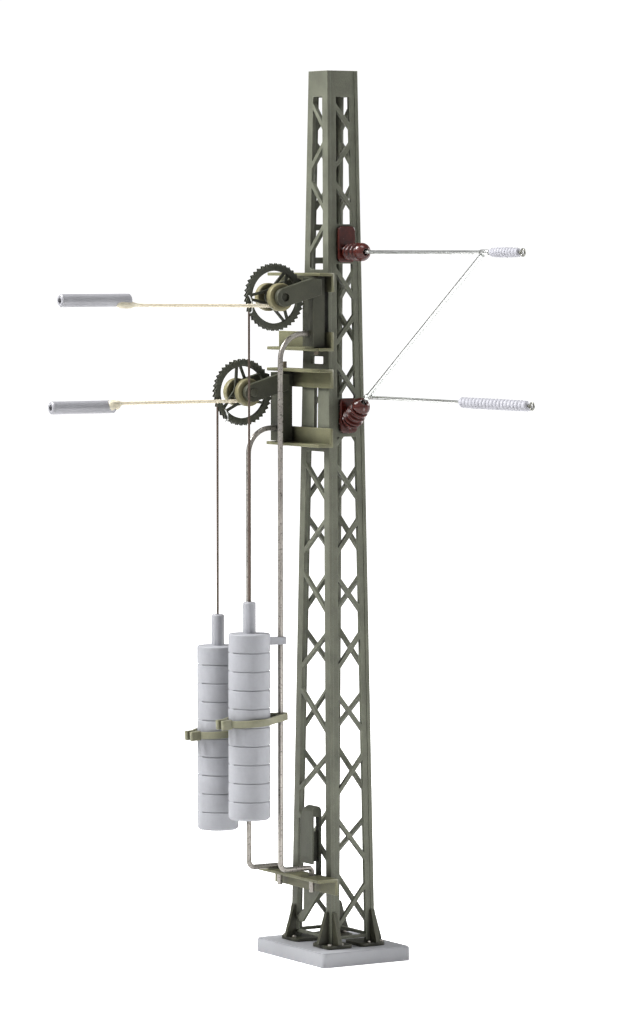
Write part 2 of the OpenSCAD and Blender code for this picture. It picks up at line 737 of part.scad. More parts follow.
module insulator(z_range, cone_z, tilt, sheds) {
    face_x = half_x(z_range[0]);
    mid = (z_range[0] + z_range[1]) / 2;
    color(glaze_color) {
        translate([face_x, 0, mid]) rotate([90, 0, 90]) linear_extrude(insulator_t)
            rounded([insulator_w, z_range[1] - z_range[0]], 0.6);
        difference() {
            translate([face_x + insulator_t, 0, cone_z]) rotate([0, -tilt, 0]) shed_body(sheds);
            block([face_x - 3, -3, cone_z - 3], [face_x + insulator_t / 2, 3, cone_z + 3]);
        }
    }
}

module upper_insulator() { insulator(upper_insulator_z, upper_tube_z, 0, upper_sheds); }
module lower_insulator() { insulator(lower_insulator_z, lower_cone_z, lower_cone_tilt, lower_sheds); }

shed_end_x = half_x(upper_insulator_z[0]) + insulator_t + shed_len;

module upper_arm_tube() {
    color(silver_color) translate([0, 0, upper_tube_z])
        rod_x(tube_d / 2, shed_end_x, upper_coil_x[1] - 0.5);
}

module lower_arm_tube() {
    color(silver_color) translate([0, 0, lower_tube_z])
        rod_x(tube_d / 2, joint_x + joint_r, lower_coil_x[1] - 0.5);
}

// The strut between the elbow clip and the joint at the lower insulator
module arm_strut() {
    from = [joint_x, lower_tube_z];
    to = [elbow_x, upper_tube_z];
    run = norm(to - from);
    angle = atan2(to[1] - from[1], to[0] - from[0]);
    color(silver_color) translate([from[0], 0, from[1]]) rotate([0, -angle, 0])
        rod_x(strut_d / 2, joint_r - 0.1, run - strut_end_gap / sin(angle));
}

module elbow_clip() {
    color(silver_color) translate([elbow_x - 0.8, 0, upper_tube_z]) difference() {
        rod_x(tube_d / 2 + 0.11, 0, 1.9);
        rod_x(tube_d / 2 + 0.01, -1, 4);
    }
}

// The joint that takes the lower tube, the strut and the pin out of the lower insulator
module lower_arm_joint() {
    start = [half_x(lower_insulator_z[0]) + insulator_t, lower_cone_z];
    pin_start = start + (shed_len - 0.15) * [cos(lower_cone_tilt), sin(lower_cone_tilt)];
    end = [joint_x, lower_tube_z];
    color(silver_color) {
        difference() {
            translate([joint_x, 0, lower_tube_z]) sphere(r = joint_r);
            translate([joint_x, 0, lower_tube_z]) rod_x(tube_d / 2 + 0.01, joint_r - 0.08, 2);
        }
        translate([pin_start[0], 0, pin_start[1]])
            rotate([0, -atan2(end[1] - pin_start[1], end[0] - pin_start[0]), 0])
            rod_x(tube_d / 2 - 0.05, 0, norm(end - pin_start));
    }
}

// A close-wound coil on a tube's end: a tube with one ring for each turn
module coil(r, x_range) {
    turns = round((x_range[1] - x_range[0]) / coil_wire / 2.2);
    pitch = (x_range[1] - x_range[0]) / turns;
    difference() {
        union() {
            rod_x(r - 0.12, x_range[0], x_range[1]);
            for (i = [0 : turns - 1]) rod_x(r, x_range[0] + (i + 0.2) * pitch, x_range[0] + (i + 0.8) * pitch);
        }
        rod_x(tube_d / 2 + 0.01, x_range[0] - 1, x_range[1] + 1);
    }
}

module upper_arm_coil() {
    color(pale_color) translate([0, 0, upper_tube_z]) coil(upper_coil_r, upper_coil_x);
}

module lower_arm_coil() {
    color(pale_color) translate([0, 0, lower_tube_z]) coil(lower_coil_r, lower_coil_x);
}

// The eye at a tube's end that the overhead wire is hooked into
module wire_eye(x, z) {
    eye_r = 0.42;
    wire_r = 0.13;
    color(silver_color) translate([x, 0, z]) {
        rod_x(tube_d / 2 - 0.05, -0.45, 0.1);
        translate([eye_r, 0, 0]) rotate([90, 0, 0]) rotate_extrude() translate([eye_r, 0]) circle(wire_r);
    }
}

module upper_arm_hook() { wire_eye(upper_coil_x[1], upper_tube_z); }
module lower_arm_hook() { wire_eye(lower_coil_x[1], lower_tube_z); }

base_plate();
wheel_side_panel();
rear_panel();
arm_side_panel();
back_panel();
foot_1();
foot_2();
foot_3();
foot_4();
foot_bolts();
upper_top_bracket();
upper_bottom_bracket();
lower_top_bracket();
lower_bottom_bracket();
rod_foot_bracket();
arch_strap();
upper_post();
lower_post();
upper_pivot_pin();
lower_pivot_pin();
upper_fork_yoke();
lower_fork_yoke();
upper_front_lever();
upper_rear_lever();
lower_front_lever();
lower_rear_lever();
upper_axle();
lower_axle();
upper_wheel();
lower_wheel();
upper_front_drum();
upper_rear_drum();
lower_front_drum();
lower_rear_drum();
upper_weight_cable();
lower_weight_cable();
upper_weight();
lower_weight();
upper_guide_yoke();
lower_guide_yoke();
upper_guide_rod();
lower_guide_rod();
upper_tension_rope();
lower_tension_rope();
upper_sleeve();
lower_sleeve();
upper_insulator();
lower_insulator();
upper_arm_tube();
lower_arm_tube();
arm_strut();
elbow_clip();
lower_arm_joint();
upper_arm_coil();
lower_arm_coil();
upper_arm_hook();
lower_arm_hook();
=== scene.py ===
import json
import math

import bpy
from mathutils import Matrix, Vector


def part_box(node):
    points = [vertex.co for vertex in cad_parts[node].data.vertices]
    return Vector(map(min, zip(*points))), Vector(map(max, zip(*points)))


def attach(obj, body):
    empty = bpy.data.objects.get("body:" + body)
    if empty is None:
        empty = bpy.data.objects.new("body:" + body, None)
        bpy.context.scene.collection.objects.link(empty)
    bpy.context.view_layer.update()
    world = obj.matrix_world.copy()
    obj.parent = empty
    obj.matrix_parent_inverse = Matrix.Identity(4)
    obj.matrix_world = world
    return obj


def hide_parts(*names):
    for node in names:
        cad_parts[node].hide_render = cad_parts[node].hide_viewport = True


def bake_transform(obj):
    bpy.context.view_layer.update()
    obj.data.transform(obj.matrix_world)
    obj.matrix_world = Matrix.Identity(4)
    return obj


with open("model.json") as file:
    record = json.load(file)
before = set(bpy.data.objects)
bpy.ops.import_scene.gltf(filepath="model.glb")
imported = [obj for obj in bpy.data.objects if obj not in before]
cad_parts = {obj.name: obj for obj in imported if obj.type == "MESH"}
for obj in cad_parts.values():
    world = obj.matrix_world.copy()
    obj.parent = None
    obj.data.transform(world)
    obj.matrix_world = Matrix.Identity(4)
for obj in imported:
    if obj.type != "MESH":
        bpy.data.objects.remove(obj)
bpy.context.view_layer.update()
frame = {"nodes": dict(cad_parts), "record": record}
nodes = frame["nodes"]
MM = 0.001


# ---------------------------------------------------------------- materials

class Nodes:
    """A small helper that adds and links shader nodes in one material."""

    def __init__(self, name):
        self.mat = bpy.data.materials.new(name)
        self.mat.use_nodes = True
        self.tree = self.mat.node_tree
        self.tree.nodes.clear()
        self.out = self.add("ShaderNodeOutputMaterial")
        self.bsdf = self.add("ShaderNodeBsdfPrincipled")
        self.link(self.bsdf, "BSDF", self.out, "Surface")
        self.coords = self.add("ShaderNodeTexCoord")

    def add(self, kind, **values):
        node = self.tree.nodes.new(kind)
        for key, value in values.items():
            if key in node.inputs:
                node.inputs[key].default_value = value
            else:
                setattr(node, key, value)
        return node

    def link(self, a, out, b, into):
        self.tree.links.new(a.outputs[out], b.inputs[into])

    def noise(self, scale, detail=3.0, rough=0.55, stretch=(1, 1, 1)):
        mapping = self.add("ShaderNodeMapping")
        mapping.inputs["Scale"].default_value = stretch
        self.link(self.coords, "Object", mapping, "Vector")
        node = self.add("ShaderNodeTexNoise")
        node.inputs["Scale"].default_value = scale
        node.inputs["Detail"].default_value = detail
        node.inputs["Roughness"].default_value = rough
        self.link(mapping, "Vector", node, "Vector")
        return node

    def ramp(self, source, out, stops):
        node = self.add("ShaderNodeValToRGB")
        elements = node.color_ramp.elements
        elements[0].position, elements[0].color = stops[0][0], (*stops[0][1], 1)
        elements[1].position, elements[1].color = stops[-1][0], (*stops[-1][1], 1)
        for place, colour in stops[1:-1]:
            e = elements.new(place)
            e.color = (*colour, 1)
        self.link(source, out, node, "Fac")
        return node

    def mix(self, fac, fac_out, a, a_out, b_colour):
        node = self.add("ShaderNodeMix", data_type="RGBA", blend_type="MIX")
        self.link(fac, fac_out, node, 0)
        self.link(a, a_out, node, 6)
        node.inputs[7].default_value = (*b_colour, 1)
        return node

    def levels(self, source, out, low, high):
        node = self.add("ShaderNodeMapRange")
        node.inputs["From Min"].default_value = 0.3
        node.inputs["From Max"].default_value = 0.7
        node.inputs["To Min"].default_value = low
        node.inputs["To Max"].default_value = high
        self.link(source, out, node, "Value")
        return node


def srgb(text):
    """A linear colour from a hex colour as the eye sees it."""
    values = [int(text[i : i + 2], 16) / 255 for i in (1, 3, 5)]
    return tuple(v / 12.92 if v <= 0.04045 else ((v + 0.055) / 1.055) ** 2.4 for v in values)


def scaled(colour, k):
    """A colour made lighter or darker."""
    return tuple(min(1.0, c * k) for c in colour)


def painted(name, colour, rough=0.5, specular=0.4, metallic=0.0, spread=0.10, edge=1.35, hollow_shade=0.75,
            grain=2600, bump=0.05, coat=0.0, stretch=(1, 1, 1)):
    """Satin paint on a small part: soft mottling, worn light edges, painted shade in hollows and creases,
    fine grain.
    """
    m = Nodes(name)
    base = srgb(colour)
    broad = m.noise(260, 3.0)
    fine = m.noise(grain, 4.0, 0.6, stretch)
    tone = m.ramp(broad, "Fac", [(0.3, scaled(base, 1 - spread)), (0.5, base),
                                 (0.72, scaled(base, 1 + spread))])
    speck = m.ramp(fine, "Fac", [(0.35, scaled((1, 1, 1), 1 - spread * 0.8)), (0.65, (1, 1, 1))])
    both = m.add("ShaderNodeMix", data_type="RGBA", blend_type="MULTIPLY")
    both.inputs[0].default_value = 1.0
    m.link(tone, "Color", both, 6)
    m.link(speck, "Color", both, 7)
    geometry = m.add("ShaderNodeNewGeometry")
    rounded = m.add("ShaderNodeBevel", samples=4)
    rounded.inputs["Radius"].default_value = 0.00013
    turned = m.add("ShaderNodeVectorMath", operation="DOT_PRODUCT")
    m.link(rounded, "Normal", turned, 0)
    m.link(geometry, "Normal", turned, 1)
    worn = m.add("ShaderNodeMapRange")
    worn.inputs["From Min"].default_value = 0.995
    worn.inputs["From Max"].default_value = 0.90
    worn.inputs["To Max"].default_value = 0.8
    m.link(turned, "Value", worn, "Value")
    light = m.mix(worn, "Result", both, 2, scaled(base, edge))
    # Painted shade: ambient occlusion darkens the colour in hollows, creases and between parts.
    cover = m.add("ShaderNodeAmbientOcclusion", samples=6, only_local=False)
    cover.inputs["Distance"].default_value = 0.0025
    shade_mask = m.add("ShaderNodeMapRange")
    shade_mask.inputs["From Min"].default_value = 0.85
    shade_mask.inputs["From Max"].default_value = 0.3
    shade_mask.inputs["To Max"].default_value = 1.0
    m.link(cover, "AO", shade_mask, "Value")
    dark = m.mix(shade_mask, "Result", light, 2, scaled(base, hollow_shade))
    m.link(dark, 2, m.bsdf, "Base Color")
    m.link(m.levels(fine, "Fac", rough - 0.06, rough + 0.08), "Result", m.bsdf, "Roughness")
    m.bsdf.inputs["Specular IOR Level"].default_value = specular
    m.bsdf.inputs["Metallic"].default_value = metallic
    m.bsdf.inputs["Coat Weight"].default_value = coat
    m.bsdf.inputs["Coat Roughness"].default_value = 0.15
    relief = m.add("ShaderNodeBump")
    relief.inputs["Strength"].default_value = bump * 6
    relief.inputs["Distance"].default_value = 0.00004
    m.link(fine, "Fac", relief, "Height")
    m.link(relief, "Normal", m.bsdf, "Normal")
    return m.mat


def thread(name, colour, dark):
    """Twisted thread: fine fibres along the strand, darker between them."""
    m = Nodes(name)
    fibres = m.noise(9000, 4.0, 0.6, (1, 0.25, 1))
    tone = m.ramp(fibres, "Fac", [(0.3, srgb(dark)), (0.6, srgb(colour)), (0.8, scaled(srgb(colour), 1.15))])
    m.link(tone, "Color", m.bsdf, "Base Color")
    m.link(m.levels(fibres, "Fac", 0.7, 0.95), "Result", m.bsdf, "Roughness")
    m.bsdf.inputs["Sheen Weight"].default_value = 0.35
    m.bsdf.inputs["Specular IOR Level"].default_value = 0.2
    relief = m.add("ShaderNodeBump")
    relief.inputs["Strength"].default_value = 0.6
    relief.inputs["Distance"].default_value = 0.00005
    m.link(fibres, "Fac", relief, "Height")
    m.link(relief, "Normal", m.bsdf, "Normal")
    return m.mat


mast_paint = painted("mast_paint", "#686a5c", rough=0.5, specular=0.35, spread=0.22, edge=1.8, hollow_shade=0.3,
                     grain=6000, bump=0.14)
strap_paint = painted("strap_paint", "#54564a", rough=0.5, specular=0.35, spread=0.22, edge=1.8, hollow_shade=0.25,
                      grain=6000, bump=0.14)
# A darker, browner copy of the mast paint: painted shade for the feet, which sit in shadow.
foot_shaded_paint = painted("foot_shaded_paint", "#404031", rough=0.42, specular=0.4, spread=0.24, edge=2.2, hollow_shade=0.3,
                     grain=6000, bump=0.14)
olive_paint = painted("olive_paint", "#717056", rough=0.44, specular=0.35, spread=0.18, edge=2.0, hollow_shade=0.28,
                      grain=6000, bump=0.1)
# Partly the levers' own dark olive paint and partly painted shade: darkened to the colour of their shaded
# sides.
lever_paint_and_shade = painted("lever_paint_and_shade", "#424336", rough=0.46, specular=0.35, spread=0.24, edge=2.2, hollow_shade=0.35,
                      grain=6000, bump=0.14)
drum_paint = painted("drum_paint", "#878160", rough=0.4, specular=0.4, spread=0.14, edge=1.3, hollow_shade=0.3)
wheel_paint = painted("wheel_paint", "#44463b", rough=0.44, specular=0.35, spread=0.2, edge=1.9, hollow_shade=0.4,
                      grain=6000, bump=0.1)
pin_paint = painted("pin_paint", "#6d6454", rough=0.45, specular=0.4, spread=0.10, edge=1.3, hollow_shade=0.5)
yoke_paint = painted("yoke_paint", "#84836c", rough=0.4, specular=0.4, spread=0.15, edge=1.4, hollow_shade=0.3)
rod_metal = painted("rod_metal", "#a5a099", rough=0.3, specular=0.5, metallic=0.7, spread=0.25, edge=1.1,
                    hollow_shade=0.5, grain=3500)
hook_metal = painted("hook_metal", "#86867f", rough=0.3, specular=0.5, metallic=0.9, spread=0.15, edge=1.1)
base_paint = painted("base_paint", "#a3a4a8", rough=0.55, specular=0.3, spread=0.03, edge=1.12, hollow_shade=0.75)
weight_paint = painted("weight_paint", "#a3a4a9", rough=0.44, specular=0.35, spread=0.06, edge=1.22,
                       hollow_shade=0.85)
sleeve_paint = painted("sleeve_paint", "#a3a3a8", rough=0.34, specular=0.5, spread=0.06, edge=1.3, hollow_shade=0.6)
cable_metal = painted("cable_metal", "#5f5148", rough=0.42, specular=0.5, metallic=0.5, spread=0.18, edge=1.0)
silver_metal = painted("silver_metal", "#e6e8e6", rough=0.2, specular=0.6, metallic=0.9, spread=0.05,
                       edge=1.0, hollow_shade=0.6, stretch=(0.1, 1, 1))
coil_paint = painted("coil_paint", "#b6b6bd", rough=0.45, specular=0.3, spread=0.04, edge=1.12, hollow_shade=0.5)
glaze = painted("glaze", "#4a160d", rough=0.2, specular=0.4, spread=0.3, edge=1.7, hollow_shade=0.15, coat=0.2)
rope_thread = thread("rope_thread", "#fbf3de", "#cdbd9c")
glue_clear = painted("glue_clear", "#e6dec6", rough=0.3, specular=0.5, spread=0.18, edge=1.1,
                     grain=5000, bump=0.2)

SLOTS = {
    "base_grey": base_paint, "mast_paint": mast_paint, "olive_metal": olive_paint, "pin_metal": pin_paint,
    "dark_wheel": wheel_paint, "yoke_metal": yoke_paint, "rod_steel": rod_metal, "cable": cable_metal,
    "pale_grey": weight_paint, "rope": rope_thread, "glaze": glaze, "coil_white": coil_paint,
    "silver": silver_metal,
}


def set_material(obj, mat):
    obj.data.materials.clear()
    obj.data.materials.append(mat)


for row in frame["record"]["subparts"]:
    set_material(nodes[row["node"]], SLOTS[row["material_slot"]])
# Levers, forks, axles and posts take the darkened lever paint, which is partly painted shade.
for name, obj in nodes.items():
    if any(word in name for word in ("lever", "fork", "axle", "post")):
        set_material(obj, lever_paint_and_shade)
    if "drum" in name:
        set_material(obj, drum_paint)
    if "sleeve" in name:
        set_material(obj, sleeve_paint)
    if name.startswith("foot_"):
        set_material(obj, foot_shaded_paint)

for k in ("upper", "lower"):
    set_material(nodes[k + "_arm_hook"], hook_metal)
set_material(nodes["foot_bolts"], rod_metal)
set_material(nodes["arch_strap"], strap_paint)

bracket = nodes["rod_foot_bracket"]
bracket.data.materials.append(mast_paint)
for face in bracket.data.polygons:
    corners = [bracket.matrix_world @ bracket.data.vertices[i].co for i in face.vertices]
    if max(c.z for c in corners) < 9.8 * MM:
        face.material_index = 1


SHARP_ANGLE = 32


def soften(obj, width):
    """Breaks a CAD piece's sharp edges, as moulding or etching does, and keeps its flat faces flat."""
    weld = obj.modifiers.new("weld", "WELD")
    weld.merge_threshold = 0.002 * MM
    if "lever" in obj.name:
        flat = obj.modifiers.new("flat", "DECIMATE")
        flat.decimate_type = "DISSOLVE"
        flat.angle_limit = math.radians(0.3)
    bevel = obj.modifiers.new("bevel", "BEVEL")
    bevel.width = width * MM
    bevel.segments = 2
    bevel.limit_method = "ANGLE"
    bevel.angle_limit = math.radians(SHARP_ANGLE)
    bevel.miter_outer = "MITER_ARC"
    even = obj.modifiers.new("even", "WEIGHTED_NORMAL")
    even.weight = 80
    obj.data.polygons.foreach_set("use_smooth", [True] * len(obj.data.polygons))


SOFT_EDGE = {"base_plate": 0.12, "upper_weight": 0.10, "lower_weight": 0.10, "foot_bolts": 0.04,
             "upper_wheel": 0.04, "lower_wheel": 0.04, "arch_strap": 0.08}
for name, obj in nodes.items():
    if "insulator" not in name and "coil" not in name:
        soften(obj, SOFT_EDGE.get(name, 0.06))


# ---------------------------------------------------------------- mesh makers

def new_mesh(name, points, faces, mat):
    mesh = bpy.data.meshes.new(name)
    mesh.from_pydata(points, [], faces)
    mesh.update()
    mesh.polygons.foreach_set("use_smooth", [True] * len(mesh.polygons))
    mesh.materials.append(mat)
    obj = bpy.data.objects.new(name, mesh)
    bpy.context.scene.collection.objects.link(obj)
    return obj


def sweep_data(points, radii, sides):
    """Rings along a line, turned with the least twist. Points in mm; one radius, or one for each point."""
    pts = [Vector(p) for p in points]
    if not hasattr(radii, "__len__"):
        radii = [radii] * len(pts)
    verts, faces = [], []
    tangent = (pts[1] - pts[0]).normalized()
    side = tangent.orthogonal().normalized()
    for i, p in enumerate(pts):
        a, b = pts[max(i - 1, 0)], pts[min(i + 1, len(pts) - 1)]
        t = (b - a).normalized()
        side = (side - t * side.dot(t)).normalized()
        up = t.cross(side)
        for k in range(sides):
            w = 2 * math.pi * k / sides
            verts.append((p + (side * math.cos(w) + up * math.sin(w)) * radii[i]) * MM)
    for i in range(len(pts) - 1):
        for k in range(sides):
            k2 = (k + 1) % sides
            faces.append((i * sides + k, i * sides + k2, (i + 1) * sides + k2, (i + 1) * sides + k))
    faces.append(tuple(range(sides - 1, -1, -1)))
    faces.append(tuple((len(pts) - 1) * sides + k for k in range(sides)))
    return verts, faces


def join_data(parts):
    """Several closed shapes as the data of one mesh."""
    verts, faces = [], []
    for v, f in parts:
        start = len(verts)
        verts += v
        faces += [tuple(i + start for i in face) for face in f]
    return verts, faces


def sweep(name, points, radii, sides, mat):
    return new_mesh(name, *sweep_data(points, radii, sides), mat)


def lathe_data(profile, origin, axis, sides=48):
    """A closed turned shape: profile is (distance along axis, radius), its first and last radius 0."""
    axis = Vector(axis).normalized()
    side = axis.orthogonal().normalized()
    up = axis.cross(side)
    origin = Vector(origin)
    verts, faces, rings = [], [], []
    for along, radius in profile:
        if radius == 0:
            rings.append([len(verts)])
            verts.append((origin + axis * along) * MM)
        else:
            rings.append(list(range(len(verts), len(verts) + sides)))
            for k in range(sides):
                w = 2 * math.pi * k / sides
                verts.append((origin + axis * along + (side * math.cos(w) + up * math.sin(w)) * radius) * MM)
    for a, b in zip(rings, rings[1:]):
        for k in range(sides):
            k2 = (k + 1) % sides
            if len(a) == 1:
                faces.append((a[0], b[k2], b[k]))
            elif len(b) == 1:
                faces.append((a[k], a[k2], b[0]))
            else:
                faces.append((a[k], a[k2], b[k2], b[k]))
    return verts, faces


def centre(node):
    low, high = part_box(node)
    return (low + high) / 2 / MM


def low(node):
    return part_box(node)[0] / MM


def high(node):
    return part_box(node)[1] / MM


# ---------------------------------------------------------------- tensioners

STRANDS, STRAND_R, TWIST_PITCH, STRAND_SIDES, POINTS_PER_TWIST = 3, 0.14, 1.2, 8, 12


def twisted(points, helix_r):
    """Three strands twisted round a line, as mesh data. Points in mm."""
    pts = [Vector(p) for p in points]
    lengths = [0.0]
    for a, b in zip(pts, pts[1:]):
        lengths.append(lengths[-1] + (b - a).length)
    total = lengths[-1]
    count = max(4, int(total / TWIST_PITCH * POINTS_PER_TWIST))
    frames = []
    side = (pts[1] - pts[0]).normalized().orthogonal().normalized()
    for i in range(count + 1):
        s = total * i / count
        k = max(j for j in range(len(pts) - 1) if lengths[j] <= s + 1e-9)
        t = (pts[k + 1] - pts[k]).normalized()
        p = pts[k] + t * (s - lengths[k])
        side = (side - t * side.dot(t)).normalized()
        frames.append((p, side.copy(), t.cross(side), s))
    parts = []
    for j in range(STRANDS):
        line = []
        for p, u, v, s in frames:
            w = 2 * math.pi * (s / TWIST_PITCH + j / STRANDS)
            line.append(p + (u * math.cos(w) + v * math.sin(w)) * helix_r)
        parts.append(sweep_data(line, STRAND_R, STRAND_SIDES))
    return join_data(parts)


def arc(cx, cy, cz, r, a0, a1, count):
    """Points on a circle round an axis along X, from a0 to a1 degrees, measured from +Y towards +Z."""
    out = []
    for i in range(count + 1):
        a = math.radians(a0 + (a1 - a0) * i / count)
        out.append((cx, cy + r * math.cos(a), cz + r * math.sin(a)))
    return out


# Each cable's wire hook: its Y, its top and its lowest Z (mm)
CABLE_HOOK = {"upper": (-14.3, 88.3, 86.25), "lower": (-13.2, 73.2, 71.75)}


def smooth_line(points, steps=6):
    """A rounded path through a few corners, in mm."""
    pts = [Vector(p) for p in points]
    out = [pts[0]]
    for p0, p1, p2 in zip(pts, pts[1:], pts[2:]):
        a, c = (p0 + p1) / 2, (p1 + p2) / 2
        out += [a.lerp(p1, t / steps).lerp(p1.lerp(c, t / steps), t / steps) for t in range(steps + 1)]
    out.append(pts[-1])
    return [p for i, p in enumerate(out) if i == 0 or (p - out[i - 1]).length > 1e-4]


# The glue at each sleeve (mm): its largest radius, how far it reaches over the sleeve, its shift along X
BOND = {"upper": (0.5, 2.2, 0.3), "lower": (0.66, 1.3, 0.25)}
# Where each rope lies against its sleeve, above or below the sleeve's axis (mm)
ROPE_ENTRY = {"upper": -0.62, "lower": 0.44}
ROPE_ON_DRUM_R = 1.14
for k in ("upper", "lower"):
    x = centre(k + "_post").x
    axis = centre(k + "_axle")
    sleeve_high = high(k + "_sleeve")
    rope_x = centre(k + "_tension_rope").x
    hub = Vector((rope_x, axis.y, axis.z - ROPE_ON_DRUM_R))
    end = Vector((rope_x + 0.18, sleeve_high.y - 1.6, centre(k + "_sleeve").z + ROPE_ENTRY[k]))
    line = [hub.lerp(end, i / 24) for i in range(25)]
    rope = new_mesh(k + "_rope_strands", *twisted(line, 0.12), rope_thread)
    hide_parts(k + "_tension_rope")
    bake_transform(rope)

    bond_line, bond_radii = [], []
    size, reach, side_shift = BOND[k]
    for i in range(41):
        t = i / 40
        body = min(1.0, t * 6) ** 0.5 * (1.0 if t < 0.62 else max(0.0, 1 - (t - 0.62) / 0.38) ** 1.4)
        ragged = 1 + 0.09 * math.sin(i * 2.3) + 0.06 * math.sin(i * 4.1 + 1)
        bond_line.append((end.x + side_shift * (1 - t) ** 0.5, sleeve_high.y - reach + t * (reach + 1.1),
                          end.z + (0.1 if k == "upper" else -0.38) * (1 - t)))
        bond_radii.append(0.2 + (size - 0.2) * body * ragged)
    bond = sweep(k + "_rope_bond", bond_line, bond_radii, 24, glue_clear)
    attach(bond, k + "_rope_body")

    turn = arc(rope_x, axis.y, axis.z, ROPE_ON_DRUM_R, -90, 250, 60)
    wound = new_mesh(k + "_rope_turn", *twisted(turn, 0.1), rope_thread)
    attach(wound, k + "_wheel_body")

    weight_top = high(k + "_weight").z
    cable_y = centre(k + "_weight_cable").y
    wire = [Vector((x, cable_y, axis.z + (weight_top - 0.35 - axis.z) * i / 40)) for i in range(41)]
    cable = sweep(k + "_cable_line", wire, 0.155, 12, cable_metal)
    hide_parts(k + "_weight_cable")
    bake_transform(cable)

    hook_y, hook_top, hook_low = CABLE_HOOK[k]
    hook_mid = (hook_top + hook_low) / 2
    hook_line = smooth_line([
        (x, hook_y - 0.1, hook_top - 0.25), (x + 0.05, hook_y - 0.15, hook_top + 0.05),
        (x + 0.42, hook_y - 0.1, hook_top + 0.1), (x + 0.44, hook_y + 0.15, hook_top - 0.5),
        (x + 0.42, hook_y + 0.3, hook_mid), (x + 0.42, hook_y + 0.25, hook_low),
        (x + 0.1, hook_y + 0.1, hook_low - 0.1)])
    hook = sweep(k + "_cable_hook", hook_line, 0.11, 10, silver_metal)
    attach(hook, k + "_wheel_body")

    loop = sweep(k + "_cable_turn", arc(x, axis.y, axis.z, abs(cable_y - axis.y), 180, -150, 90), 0.14, 12,
                 cable_metal)
    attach(loop, k + "_wheel_body")


# ---------------------------------------------------------------- arm

def smooth_profile(points, steps=4):
    """A rounded curve through the corners of an outline."""
    out = [points[0]]
    for p0, p1, p2 in zip(points, points[1:], points[2:]):
        a = ((p0[0] + p1[0]) / 2, (p0[1] + p1[1]) / 2)
        c = ((p1[0] + p2[0]) / 2, (p1[1] + p2[1]) / 2)
        for i in range(steps + 1):
            t = i / steps
            out.append(tuple((1 - t) ** 2 * a[k] + 2 * t * (1 - t) * p1[k] + t * t * c[k] for k in (0, 1)))
    out.append(points[-1])
    clean = [out[0]]
    for p in out[1:]:
        if abs(p[0] - clean[-1][0]) + abs(p[1] - clean[-1][1]) > 1e-5:
            clean.append(p)
    return clean


def glazed_body(sheds, origin, tilt):
    """The glazed ribs of an insulator, then its domed end with a dimple where the metal comes out."""
    groove, cap = 0.36, 3.75
    cap_r = min(1.24, sheds[-1][1] + 0.01)
    first, last = sheds[0][1] - groove, sheds[-1][1] - groove

    def core(place):
        return first + (last - first) * place / cap

    profile = [(-0.25, 0), (-0.25, core(0))]
    for place, r in sheds:
        profile += [(place - 0.4, core(place)), (place - 0.12, r), (place + 0.1, r * 1.02),
                    (place + 0.22, core(place))]
    profile += [(cap - 0.4, core(cap) + 0.1), (cap - 0.1, cap_r),
                (cap + 0.12, cap_r), (cap + 0.42, cap_r * 0.9), (cap + 0.8, cap_r * 0.68),
                (cap + 0.98, 0.62), (cap + 1.02, 0.5), (cap + 0.94, 0.38), (cap + 0.7, 0.3), (cap + 0.6, 0)]
    axis = (math.cos(math.radians(tilt)), 0, math.sin(math.radians(tilt)))
    return lathe_data(smooth_profile(profile), origin, axis, 44)


def plate_data(low_c, high_c, corner, edge=0.14, steps=5):
    """A plate facing +X with rounded corners and rounded front edges."""
    cy, cz = (low_c.y + high_c.y) / 2, (low_c.z + high_c.z) / 2
    hy, hz = (high_c.y - low_c.y) / 2, (high_c.z - low_c.z) / 2
    rings = []
    for x, inset in [(low_c.x, 0), (high_c.x - edge, 0)] + [
            (high_c.x - edge + edge * math.sin(a), edge * (1 - math.cos(a)))
            for a in (math.pi / 6, math.pi / 3, math.pi / 2)]:
        ring = []
        r = corner - inset
        for q, (sy, sz) in enumerate([(1, 1), (-1, 1), (-1, -1), (1, -1)]):
            for i in range(steps + 1):
                a = math.pi / 2 * (q + i / steps)
                ring.append(Vector((x, cy + sy * (hy - corner) + r * math.cos(a),
                                    cz + sz * (hz - corner) + r * math.sin(a))))
        rings.append(ring)
    n = len(rings[0])
    verts = [v * MM for ring in rings for v in ring]
    faces = [tuple(range(n - 1, -1, -1)), tuple((len(rings) - 1) * n + k for k in range(n))]
    for i in range(len(rings) - 1):
        for k in range(n):
            k2 = (k + 1) % n
            faces.append((i * n + k, i * n + k2, (i + 1) * n + k2, (i + 1) * n + k))
    return verts, faces


# Each rib of an insulator (mm): its place along the body and its radius
UPPER_SHEDS = ((0.58, 1.06), (1.68, 1.14), (2.78, 1.2))
LOWER_SHEDS = ((0.65, 1.30), (1.30, 1.42), (2.22, 1.38), (3.14, 1.33))
UPPER_BODY_Z = centre("upper_arm_tube").z
LOWER_BODY_Z = 71.5
for k, plate_h, z, tilt, sheds in (("upper", 4.75, UPPER_BODY_Z, 0, UPPER_SHEDS),
                                   ("lower", 4.6, LOWER_BODY_Z, 38, LOWER_SHEDS)):
    lo, hi = low(k + "_insulator"), high(k + "_insulator")
    plate_low = Vector((lo.x, -1.3, lo.z if k == "lower" else hi.z - plate_h))
    plate_high = Vector((lo.x + 0.6, 1.3, plate_low.z + plate_h))
    body = glazed_body(sheds, (plate_high.x, 0, z), tilt)
    plate = plate_data(plate_low, plate_high, 0.6)
    piece = new_mesh(k + "_glazed_insulator", *join_data([plate, body]), glaze)
    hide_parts(k + "_insulator")
    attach(piece, "mast")


